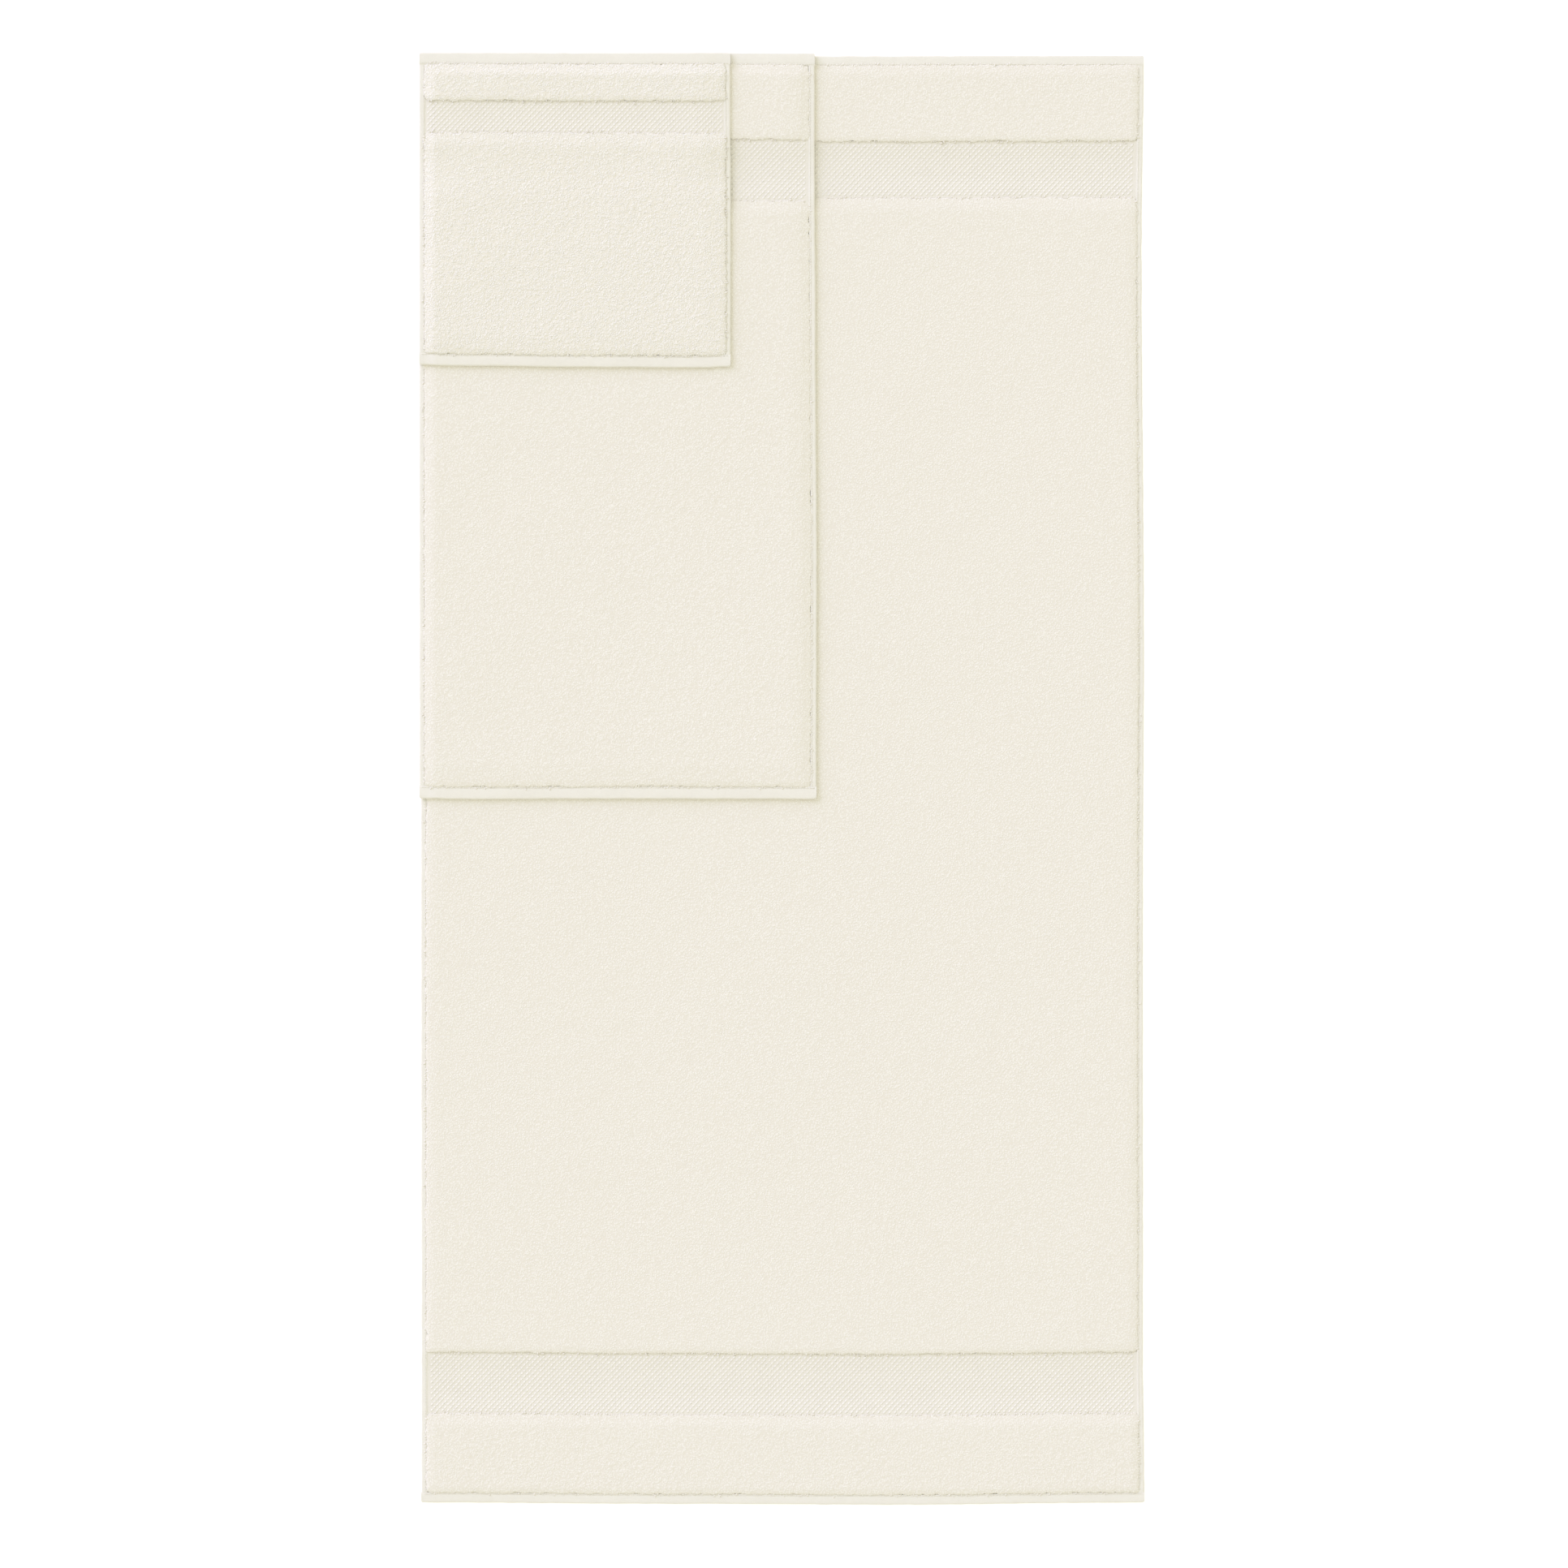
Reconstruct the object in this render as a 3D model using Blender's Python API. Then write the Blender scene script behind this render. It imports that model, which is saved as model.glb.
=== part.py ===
"""Terry towel set laid flat: a bath towel, a hand towel on it, and a washcloth on top.

Metres, +Z up, +X to the right, +Y towards the towels' top edges. The origin is under the
middle of the whole set. Each towel is a flat ground cloth that carries terry pile on both
faces, woven dobby bands between the pile panels, a turned hem on all four edges, the hems'
seams and a blank care label on the underside.
"""

from dataclasses import dataclass
from math import pi

import bmesh
import bpy
from mathutils import Matrix, Vector

MM = 0.001
GAP = 0.3 * MM  # left between pieces that rest on or meet each other

# Thickness of each layer of one towel, from its underside up.
BACK_PILE = 2.0 * MM
GROUND = 1.0 * MM
FRONT_PILE = 2.4 * MM
TOWEL_THICKNESS = BACK_PILE + GAP + GROUND + GAP + FRONT_PILE
GROUND_BASE = BACK_PILE + GAP
GROUND_TOP = GROUND_BASE + GROUND

# Raised weft floats of the dobby bands, above and below the ground cloth.
DOBBY_RELIEF = 0.6 * MM

# A hem is turned under twice: one layer over the ground cloth's edge, two layers under it.
HEM_TOP_LAYER = 0.8 * MM
HEM_UNDER_LAYERS = 1.4 * MM
HEM_FOLD = 1.2 * MM  # cloth at the folded outer edge
SIDE_HEM = 6.5 * MM

# Seam thread lying on the hem, near the hem's inner edge.
THREAD_WIDTH = 0.6 * MM
THREAD_HEIGHT = 0.4 * MM
SEAM_INSET = 1.6 * MM  # from the hem's inner edge to the middle of the seam

# Folded satin label, between the dobby band's underside and whatever the towel lies on.
LABEL_THICKNESS = 0.5 * MM
LABEL_SIDE_CLEARANCE = 4.0 * MM  # from the side hem to the label

PILE_ROUND = 0.8 * MM
HEM_ROUND = 0.3 * MM
ROUND_SEGMENTS = 2

# The two upper towels stand proud of the bath towel at its top left corner.
OVERHANG_LEFT = 1.7 * MM
OVERHANG_TOP = 3.0 * MM


@dataclass
class Towel:
    """One towel's sizes. bands run from the top hem down; a height of None takes what is left."""

    name: str
    width: float
    length: float
    end_hem: float
    bands: tuple
    label_band: str
    label_size: tuple


BATH = Towel(
    name="bath",
    width=762 * MM,
    length=1528 * MM,
    end_hem=11 * MM,
    bands=(
        ("top_stripe", 79 * MM),
        ("top_dobby", 61.5 * MM),
        ("field", None),
        ("bottom_dobby", 66.5 * MM),
        ("bottom_stripe", 82 * MM),
    ),
    label_band="bottom_dobby",
    label_size=(30 * MM, 45 * MM),
)
HAND = Towel(
    name="hand",
    width=416 * MM,
    length=787 * MM,
    end_hem=13.5 * MM,
    bands=(("top_stripe", 77.5 * MM), ("top_dobby", 66.5 * MM), ("field", None)),
    label_band="top_dobby",
    label_size=(25 * MM, 40 * MM),
)
WASH = Towel(
    name="wash",
    width=327 * MM,
    length=331 * MM,
    end_hem=13 * MM,
    bands=(("top_stripe", 37.5 * MM), ("top_dobby", 35.5 * MM), ("field", None)),
    label_band="top_dobby",
    label_size=(20 * MM, 24 * MM),
)


def clear_scene():
    for thing in list(bpy.data.objects):
        bpy.data.objects.remove(thing)


def fabric(name, colour, roughness):
    material = bpy.data.materials.new(name)
    material.use_nodes = True
    shader = material.node_tree.nodes["Principled BSDF"]
    shader.inputs["Base Color"].default_value = (*colour, 1.0)
    shader.inputs["Roughness"].default_value = roughness
    shader.inputs["Metallic"].default_value = 0.0
    return material


def add_object(name, mesh, middle, towel_empty, material):
    piece = bpy.data.objects.new(name, mesh)
    bpy.context.scene.collection.objects.link(piece)
    piece.parent = towel_empty
    piece.location = middle
    piece.data.materials.append(material)
    return piece


def round_edges(piece, width, segments):
    bevel = piece.modifiers.new("rounded_edges", "BEVEL")
    bevel.width = width
    bevel.segments = segments
    bevel.limit_method = "ANGLE"


def box_mesh(name, size):
    """A cuboid of this size around its own middle."""
    shape = bmesh.new()
    bmesh.ops.create_cube(shape, size=1.0)
    bmesh.ops.scale(shape, vec=size, verts=shape.verts)
    mesh = bpy.data.meshes.new(name)
    shape.to_mesh(mesh)
    shape.free()
    return mesh


def slab(name, low, high, towel_empty, material):
    """A flat piece between two corners, measured from the towel's top left corner at its base."""
    low, high = Vector(low), Vector(high)
    mesh = box_mesh(name, high - low)
    return add_object(name, mesh, (low + high) / 2, towel_empty, material)


def side_hem_mesh(name, length):
    """A folded channel along Y that is open towards +X and holds the ground cloth's edge."""
    half = length / 2
    bottom = GROUND_BASE - GAP - HEM_UNDER_LAYERS
    top = GROUND_TOP + GAP + HEM_TOP_LAYER
    outline = (
        (0, bottom),
        (SIDE_HEM, bottom),
        (SIDE_HEM, GROUND_BASE - GAP),
        (HEM_FOLD, GROUND_BASE - GAP),
        (HEM_FOLD, GROUND_TOP + GAP),
        (SIDE_HEM, GROUND_TOP + GAP),
        (SIDE_HEM, top),
        (0, top),
    )
    shape = bmesh.new()
    corners = [shape.verts.new((x, -half, z)) for x, z in outline]
    end = shape.faces.new(corners)
    grown = bmesh.ops.extrude_face_region(shape, geom=[end])
    moved = [part for part in grown["geom"] if isinstance(part, bmesh.types.BMVert)]
    bmesh.ops.translate(shape, vec=(0, length, 0), verts=moved)
    bmesh.ops.recalc_face_normals(shape, faces=shape.faces)
    mesh = bpy.data.meshes.new(name)
    shape.to_mesh(mesh)
    shape.free()
    return mesh


def end_hem_mesh(name, width, depth):
    """A folded bar along X with closed ends; its pocket opens towards -Y for the ground cloth."""
    bottom = GROUND_BASE - GAP - HEM_UNDER_LAYERS
    top = GROUND_TOP + GAP + HEM_TOP_LAYER
    shape = bmesh.new()
    bmesh.ops.create_cube(shape, size=1.0)
    bmesh.ops.scale(shape, vec=(width, depth, top - bottom), verts=shape.verts)
    bmesh.ops.translate(shape, vec=(width / 2, -depth / 2, (top + bottom) / 2), verts=shape.verts)
    inner = min(shape.faces, key=lambda face: face.calc_center_median().y)
    bmesh.ops.inset_region(shape, faces=[inner], thickness=HEM_TOP_LAYER / 2)
    middle = inner.calc_center_median()
    for corner in inner.verts:
        corner.co.x = HEM_FOLD if corner.co.x < middle.x else width - HEM_FOLD
        corner.co.z = GROUND_BASE - GAP if corner.co.z < middle.z else GROUND_TOP + GAP
    pocket = bmesh.ops.extrude_face_region(shape, geom=[inner])
    moved = [part for part in pocket["geom"] if isinstance(part, bmesh.types.BMVert)]
    bmesh.ops.translate(shape, vec=(0, depth - HEM_FOLD, 0), verts=moved)
    bmesh.ops.delete(shape, geom=[inner], context="FACES_ONLY")
    bmesh.ops.recalc_face_normals(shape, faces=shape.faces)
    mesh = bpy.data.meshes.new(name)
    shape.to_mesh(mesh)
    shape.free()
    return mesh


def band_spans(towel):
    """Each band's (name, upper y, lower y), measured down from the towel's top edge."""
    known = sum(height for _, height in towel.bands if height is not None)
    rest = towel.length - 2 * towel.end_hem - known
    spans, upper = [], -towel.end_hem
    for name, height in towel.bands:
        lower = upper - (rest if height is None else height)
        spans.append((name, upper, lower))
        upper = lower
    return spans


def make_ground_cloth(towel, empty, cotton):
    """The woven sheet, edge to edge inside the folds of the hems."""
    edge = HEM_FOLD + GAP
    slab(
        f"{towel.name}_ground_cloth",
        (edge, edge - towel.length, GROUND_BASE),
        (towel.width - edge, -edge, GROUND_TOP),
        empty,
        cotton,
    )


def make_bands(towel, empty, terry, dobby):
    """Pile panels and dobby bands, on the front and on the back of the ground cloth."""
    left = SIDE_HEM + GAP
    right = towel.width - SIDE_HEM - GAP
    for band, upper, lower in band_spans(towel):
        is_dobby = band.endswith("dobby")
        word, material = ("weave", dobby) if is_dobby else ("pile", terry)
        front_height = DOBBY_RELIEF if is_dobby else FRONT_PILE
        back_height = DOBBY_RELIEF if is_dobby else BACK_PILE
        faces = (
            ("front", GROUND_TOP + GAP, GROUND_TOP + GAP + front_height),
            ("back", GROUND_BASE - GAP - back_height, GROUND_BASE - GAP),
        )
        for face, base, top in faces:
            piece = slab(
                f"{towel.name}_{band}_{face}_{word}",
                (left, lower + GAP / 2, base),
                (right, upper - GAP / 2, top),
                empty,
                material,
            )
            if not is_dobby:
                round_edges(piece, PILE_ROUND, ROUND_SEGMENTS)


def make_hems(towel, empty, hem_cloth):
    """Two side hems between two end hems that run the full width."""
    side_length = towel.length - 2 * towel.end_hem - GAP
    for side, x, turn in (("left", 0, 0), ("right", towel.width, pi)):
        name = f"{towel.name}_{side}_side_hem"
        mesh = side_hem_mesh(name, side_length)
        mesh.transform(Matrix.Rotation(turn, 4, "Z"))
        hem = add_object(name, mesh, (x, -towel.length / 2, 0), empty, hem_cloth)
        round_edges(hem, HEM_ROUND, 1)
    for end, y, turn in (("top", 0, 0), ("bottom", -towel.length, pi)):
        name = f"{towel.name}_{end}_end_hem"
        mesh = end_hem_mesh(name, towel.width, towel.end_hem - GAP / 2)
        mesh.transform(Matrix.Rotation(turn, 4, "Z"))
        hem = add_object(name, mesh, (towel.width if turn else 0, y, 0), empty, hem_cloth)
        round_edges(hem, HEM_ROUND, 1)


def make_seams(towel, empty, thread):
    """One line of thread on each hem, a little outside the pile."""
    base = GROUND_TOP + GAP + HEM_TOP_LAYER + GAP
    top = base + THREAD_HEIGHT
    half = THREAD_WIDTH / 2
    side = SIDE_HEM - SEAM_INSET
    end = towel.end_hem - SEAM_INSET
    for name, x in (("left", side), ("right", towel.width - side)):
        slab(
            f"{towel.name}_{name}_side_seam",
            (x - half, towel.end_hem - towel.length, base),
            (x + half, -towel.end_hem, top),
            empty,
            thread,
        )
    for name, y in (("top", -end), ("bottom", end - towel.length)):
        slab(
            f"{towel.name}_{name}_end_seam",
            (SEAM_INSET, y - half, base),
            (towel.width - SEAM_INSET, y + half, top),
            empty,
            thread,
        )


def make_care_label(towel, empty, satin):
    """A blank folded label under a dobby band, beside the right side hem."""
    width, height = towel.label_size
    upper, lower = next(span[1:] for span in band_spans(towel) if span[0] == towel.label_band)
    middle = (upper + lower) / 2
    right = towel.width - SIDE_HEM - LABEL_SIDE_CLEARANCE
    top = GROUND_BASE - GAP - DOBBY_RELIEF - GAP
    slab(
        f"{towel.name}_care_label",
        (right - width, middle - height / 2, top - LABEL_THICKNESS),
        (right, middle + height / 2, top),
        empty,
        satin,
    )


def make_towel(towel, corner, finishes):
    """corner is the towel's top left corner at its underside."""
    empty = bpy.data.objects.new(f"{towel.name}_towel_corner", None)
    bpy.context.scene.collection.objects.link(empty)
    empty.location = corner
    make_ground_cloth(towel, empty, finishes["ground"])
    make_bands(towel, empty, finishes["terry"], finishes["dobby"])
    make_hems(towel, empty, finishes["hem"])
    make_seams(towel, empty, finishes["thread"])
    make_care_label(towel, empty, finishes["label"])


def main():
    clear_scene()
    finishes = {
        "ground": fabric("ivory_ground_cotton", (0.80, 0.76, 0.67), 0.95),
        "terry": fabric("ivory_terry", (0.82, 0.78, 0.69), 1.0),
        "dobby": fabric("ivory_dobby_weave", (0.82, 0.78, 0.68), 0.85),
        "hem": fabric("ivory_hem_cloth", (0.84, 0.81, 0.72), 0.85),
        "thread": fabric("ivory_seam_thread", (0.85, 0.82, 0.74), 0.6),
        "label": fabric("white_satin_label", (0.86, 0.86, 0.84), 0.45),
    }
    # The set reaches from the upper towels' left and top edges to the bath towel's other two.
    left = -(BATH.width + OVERHANG_LEFT) / 2
    top = (BATH.length + OVERHANG_TOP) / 2
    storey = TOWEL_THICKNESS + GAP
    make_towel(BATH, (left + OVERHANG_LEFT, top - OVERHANG_TOP, 0), finishes)
    make_towel(HAND, (left, top, storey), finishes)
    make_towel(WASH, (left, top, 2 * storey), finishes)


main()
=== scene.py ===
"""Looks of the terry towel set: pile, dobby weave, turned hems, stitches and care labels.

Each towel is built flat at its cut size, piece by piece, in the places the frame gives. Its
pieces are then laid together: edges wander a little, the cloth dips over woven bands, and an
upper towel droops along the edges that line up and settles towards its free edges.
"""

from math import radians

import bmesh
import bpy
import numpy as np
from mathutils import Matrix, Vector


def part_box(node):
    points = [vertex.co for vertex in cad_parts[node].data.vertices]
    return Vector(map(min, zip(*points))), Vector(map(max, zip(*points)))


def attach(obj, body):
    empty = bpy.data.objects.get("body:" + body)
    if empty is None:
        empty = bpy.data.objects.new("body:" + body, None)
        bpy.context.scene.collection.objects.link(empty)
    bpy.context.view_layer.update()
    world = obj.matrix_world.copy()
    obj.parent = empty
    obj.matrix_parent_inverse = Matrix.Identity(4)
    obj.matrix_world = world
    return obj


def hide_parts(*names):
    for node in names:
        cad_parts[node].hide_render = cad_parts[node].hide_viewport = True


MM = 0.001
GAP = 0.3 * MM  # left between pieces that touch

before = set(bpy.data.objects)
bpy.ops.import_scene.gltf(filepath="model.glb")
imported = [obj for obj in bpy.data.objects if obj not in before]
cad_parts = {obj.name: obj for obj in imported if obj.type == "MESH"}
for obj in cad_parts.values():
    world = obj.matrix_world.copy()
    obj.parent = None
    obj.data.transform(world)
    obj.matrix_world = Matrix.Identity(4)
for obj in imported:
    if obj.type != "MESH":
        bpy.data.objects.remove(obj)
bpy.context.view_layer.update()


# ---------------------------------------------------------------- the three towels

SIDE_REACH = 50 * MM  # how far in from a towel's sides its dips are deeper
DROOP_REACH = 12 * MM  # how far in from the lined-up edges the droop fades out
SETTLE_REACH = 24 * MM  # how far in from the free edges the settling fades out
# Slow swells in a towel's thickness: share of its height, size of a swell, seed.
SWELLS = ((0.035, 160 * MM, 5), (0.02, 55 * MM, 6))
LUMP_TABLE = 256  # random heights to a side, before lumps repeat


class Towel:
    """Where one towel's cut edges are, and how it lies. Lengths are metres, y grows to the top.

    wander: how far each edge strays from straight, as the stops that through() reads
    dips: where the towel sinks over or with woven bands, as over() gives them
    droop, settle: how far it sinks along its lined-up edges and along its free ones
    cells: size of the pile's grid in each kind of panel
    grain: how lumpy the pile's top is
    firm: how steep the pile's right edge is against the usual
    loft: how high the front pile stands against the usual
    """

    def __init__(
        self, name, body, flat, wander, dips, droop, settle, cells, grain, firm, loft, seed
    ):
        self.name, self.body, self.flat = name, body, flat
        self.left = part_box(f"{name}_left_side_hem")[0].x
        self.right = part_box(f"{name}_right_side_hem")[1].x
        self.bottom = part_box(f"{name}_bottom_end_hem")[0].y
        self.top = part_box(f"{name}_top_end_hem")[1].y
        self.side_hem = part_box(f"{name}_left_side_hem")[1].x - self.left
        self.end_hem = self.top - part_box(f"{name}_top_end_hem")[0].y
        self.wander, self.dips, self.droop, self.settle = wander, dips, droop, settle
        self.cells, self.grain, self.firm, self.loft = cells, grain, firm, loft
        self.seed = seed
        self.pieces = []

    def share(self, x, y):
        across = (x - self.left) / (self.right - self.left)
        down = (self.top - y) / (self.top - self.bottom)
        return across, down


def smooth_step(t):
    t = np.clip(t, 0, 1)
    return t * t * (3 - 2 * t)


def through(stops, t):
    """A soft curve through (share along the edge, offset in mm) stops, in metres."""
    places, offsets = zip(*stops)
    span = np.clip(np.searchsorted(places, t, side="right") - 1, 0, len(places) - 2)
    places, offsets = np.array(places), np.array(offsets)
    along = smooth_step((t - places[span]) / (places[span + 1] - places[span]))
    return (offsets[span] + (offsets[span + 1] - offsets[span]) * along) * MM


def lumps(x, y, size, seed):
    """Soft random heights from -1 to 1, with lumps about this size."""
    table = np.random.default_rng(seed).uniform(-1, 1, (LUMP_TABLE, LUMP_TABLE))
    u, v = x / size, y / size
    i, j = np.floor(u).astype(int), np.floor(v).astype(int)
    a, b = smooth_step(u - i), smooth_step(v - j)
    k, m = (i + 1) % LUMP_TABLE, (j + 1) % LUMP_TABLE
    i, j = i % LUMP_TABLE, j % LUMP_TABLE
    near = table[i, j] * (1 - a) + table[k, j] * a
    far = table[i, m] * (1 - a) + table[k, m] * a
    return near * (1 - b) + far * b


def band_mask(y, low, high, ramp):
    return smooth_step((y - low) / ramp) * smooth_step((high - y) / ramp)


def lay(towel, piece):
    """Moves a piece's points from the flat towel to how the towel lies."""
    points = np.empty(len(piece.data.vertices) * 3, np.float32)
    piece.data.vertices.foreach_get("co", points)
    x, y, z = points.reshape(-1, 3).astype(float).T
    across, down = towel.share(x, y)
    sideways = (1 - across) * through(towel.wander["left"], down)
    sideways += across * through(towel.wander["right"], down)
    lengthways = (1 - down) * through(towel.wander["top"], across)
    lengthways += down * through(towel.wander["bottom"], across)
    sink = np.zeros_like(z)
    near_side = 1 - smooth_step(np.minimum(x - towel.left, towel.right - x) / SIDE_REACH)
    for low, high, depth, ramp, inner in towel.dips:
        sink += depth * (inner + (1 - inner) * near_side) * band_mask(y, low, high, ramp)
    lined_up = np.minimum(x - towel.left - towel.side_hem, towel.top - towel.end_hem - y)
    free = np.minimum(towel.right - towel.side_hem - x, y - towel.bottom - towel.end_hem)
    sink += towel.droop * (1 - smooth_step(lined_up / DROOP_REACH))
    sink += towel.settle * (1 - smooth_step(free / SETTLE_REACH))
    plump = 1 + sum(share * lumps(x, y, size, seed) for share, size, seed in SWELLS)
    height = np.maximum((z - sink) * plump, 0)
    laid = np.stack([x + sideways, y + lengthways, height], axis=1)
    piece.data.vertices.foreach_set("co", laid.astype(np.float32).ravel())
    piece.data.update()


def over(node, depth, ramp, inner=1.0):
    """A dip in whatever lies over, or is, this woven band. It deepens over the ramp, and away
    from the towel's sides only the inner share of the depth is left."""
    low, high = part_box(node)
    return low.y, high.y, depth, ramp, inner


BATH = Towel(
    "bath",
    "bath_towel",
    flat=(0.762, 1.528),
    wander={
        "left": ((0, -1.5), (0.6, -1.1), (1, -0.7)),
        "right": ((0, 0.2), (0.14, -1.9), (0.41, 0.6), (0.62, -0.6), (0.9, -0.5), (1, 1.0)),
        "top": ((0, 0.8), (0.55, 0.7), (1, 1.3)),
        "bottom": ((0, 1.3), (0.35, -0.2), (0.66, -1.1), (1, 1.3)),
    },
    dips=(
        over("bath_top_dobby_front_weave", 1.2 * MM, 24 * MM),
        over("bath_bottom_dobby_front_weave", 1.2 * MM, 24 * MM),
    ),
    droop=0.0,
    settle=0.0,
    cells={"field": 3.6 * MM, "stripe": 1.4 * MM, "back": 6 * MM},
    grain=0.6,
    firm=0.8,
    loft=1.0,
    seed=100,
)
HAND = Towel(
    "hand",
    "hand_towel",
    flat=(0.416, 0.787),
    wander={
        "left": ((0, -0.7), (0.5, -1.0), (1, -0.8)),
        "right": ((0, 0.7), (0.17, 0.7), (0.35, 1.6), (0.7, 3.0), (1, 2.4)),
        "top": ((0, 0.5), (0.6, 0.7), (1, 0.4)),
        "bottom": ((0, 0.6), (0.12, -0.2), (0.5, 0.1), (1, -0.2)),
    },
    dips=(
        over("bath_top_dobby_front_weave", 1.3 * MM, 24 * MM, 0.7),
        over("hand_top_dobby_front_weave", 0.6 * MM, 24 * MM),
    ),
    droop=0.8 * MM,
    settle=0.9 * MM,
    cells={"field": 1.82 * MM, "stripe": 1.15 * MM, "back": 4 * MM},
    grain=0.6,
    firm=0.55,
    loft=1.0,
    seed=200,
)
WASH = Towel(
    "wash",
    "washcloth",
    flat=(0.327, 0.331),
    wander={
        "left": ((0, -0.6), (0.45, -0.9), (1, -0.7)),
        "right": ((0, 0.6), (0.22, 0.6), (0.36, 1.0), (0.8, 1.1), (1, 0.8)),
        "top": ((0, 0.5), (0.5, 0.2), (1, 0.4)),
        "bottom": ((0, 2.0), (0.12, 0.8), (0.25, 0.6), (0.42, -0.4), (0.9, -1.3), (1, -0.1)),
    },
    dips=(
        over("wash_top_dobby_front_weave", 0.4 * MM, 14 * MM),
        over("hand_top_dobby_front_weave", 2.0 * MM, 30 * MM, 0.35),
    ),
    droop=1.5 * MM,
    settle=0.9 * MM,
    cells={"field": 1.0 * MM, "stripe": 0.85 * MM, "back": 3 * MM},
    grain=0.75,
    firm=1.15,
    loft=1.1,
    seed=300,
)


# ---------------------------------------------------------------- cotton finishes

WAVE = 0.314  # metres from band to band of a wave texture whose Scale is 1
DOBBY_SLANT = 46.0  # degrees that a float climbs to the right
# How fine the cotton's noise is: lumps to a metre.
LOOP_HEADS, LOOP_CURLS, TUFTS = 520.0, 300.0, 300.0
YARN_FUZZ, FIBRES, SLUBS = 1500.0, 900.0, 340.0
# From valley to crest: the colours of uncut loops, the valley colour being painted shade between
# the loop heads.
TOWEL_IVORY = ((0.815, 0.77, 0.69), (0.925, 0.895, 0.835))
WASHCLOTH_IVORY = ((0.845, 0.80, 0.715), (0.975, 0.95, 0.90))


class Finish:
    """A material that is put together node by node around its Principled shader."""

    def __init__(self, name, roughness, sheen=0.0, gloss=0.2):
        self.material = bpy.data.materials.new(name)
        self.material.use_nodes = True
        self.tree = self.material.node_tree
        self.shader = self.tree.nodes["Principled BSDF"]
        self.set(self.shader, {"Roughness": roughness, "Metallic": 0.0})
        self.set(self.shader, {"Sheen Weight": sheen, "Sheen Roughness": 0.5})
        self.set(self.shader, {"Specular IOR Level": gloss})
        self.place = self.add("TexCoord").outputs["Object"]

    def link_or_set(self, socket, value):
        if isinstance(value, bpy.types.NodeSocket):
            self.tree.links.new(value, socket)
        else:
            socket.default_value = value

    def set(self, node, values):
        for socket, value in values.items():
            self.link_or_set(node.inputs[socket], value)

    def add(self, kind, values=None, **settings):
        node = self.tree.nodes.new(f"ShaderNode{kind}")
        for setting, value in settings.items():
            setattr(node, setting, value)
        self.set(node, values or {})
        return node

    def turned(self, degrees):
        """The piece's own coordinates, turned about Z."""
        values = {"Vector": self.place, "Rotation": (0, 0, radians(degrees))}
        return self.add("Mapping", values).outputs[0]

    def noise(self, scale, detail=2.0):
        values = {"Vector": self.place, "Scale": scale, "Detail": detail}
        return self.add("TexNoise", values).outputs["Fac"]

    def threads(self, place, thread, distortion, direction, **values):
        """Threads side by side, as bands of a wave texture, each this wide in metres."""
        values = {"Vector": place, "Scale": WAVE / thread, "Distortion": distortion, **values}
        return self.add("TexWave", values, bands_direction=direction).outputs["Fac"]

    def ramp(self, value, low, high, to_low=0.0, to_high=1.0):
        values = {"Value": value, "From Min": low, "From Max": high}
        values.update({"To Min": to_low, "To Max": to_high})
        return self.add("MapRange", values).outputs["Result"]

    def plus(self, first, second):
        return self.add("Math", {0: first, 1: second}, operation="ADD").outputs[0]

    def times(self, first, second):
        return self.add("Math", {0: first, 1: second}, operation="MULTIPLY").outputs[0]

    def mix(self, share, first, second):
        """A colour between two, at this share of the way."""
        values = {"Factor": share, "A": (*first, 1), "B": (*second, 1)}
        node = self.add("Mix", data_type="RGBA")
        for socket in node.inputs:
            if socket.enabled and socket.name in values:
                self.link_or_set(socket, values[socket.name])
        return next(out for out in node.outputs if out.enabled)

    def bump(self, height, depth, strength=1.0):
        values = {"Height": height, "Distance": depth, "Strength": strength}
        return self.add("Bump", values).outputs["Normal"]

    def done(self, colour, normal):
        self.set(self.shader, {"Base Color": colour, "Normal": normal})
        return self.material


def terry_loops(name, relief, valley_shade, crest):
    """Uncut cotton loops: round heads pushed into short curls, with fuzzy yarn between them. The
    colour is darker between the heads as painted shade.
    """
    terry = Finish(name, roughness=0.95, sheen=0.15, gloss=0.1)
    curls = {"Vector": terry.place, "Scale": LOOP_CURLS, "Detail": 1.0}
    push = {0: terry.add("TexNoise", curls).outputs["Color"], 1: (2.4 * MM,) * 3, 2: terry.place}
    pushed = terry.add("VectorMath", push, operation="MULTIPLY_ADD").outputs[0]
    heads = {"Vector": pushed, "Scale": LOOP_HEADS, "Randomness": 1.0}
    reach = terry.add("TexVoronoi", heads).outputs["Distance"]
    crown = terry.ramp(reach, 0.08, 0.62, 1.0, 0.0)
    fuzz = terry.noise(YARN_FUZZ, 3.0)
    tufts = terry.noise(TUFTS)
    height = terry.plus(terry.plus(crown, terry.ramp(fuzz, 0.2, 0.8, 0.0, 0.35)), tufts)
    shade = terry.plus(terry.ramp(terry.noise(45.0), 0.3, 0.7, 0.0, 0.06), tufts)
    # painted shade: darker in the valleys between loop heads and lighter on their crowns, with
    # tone that varies with the slow noise and the tufts
    share = terry.times(crown, terry.ramp(shade, 0.3, 0.8, 0.82, 1.18))
    return terry.done(terry.mix(share, valley_shade, crest), terry.bump(height, relief))


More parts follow.
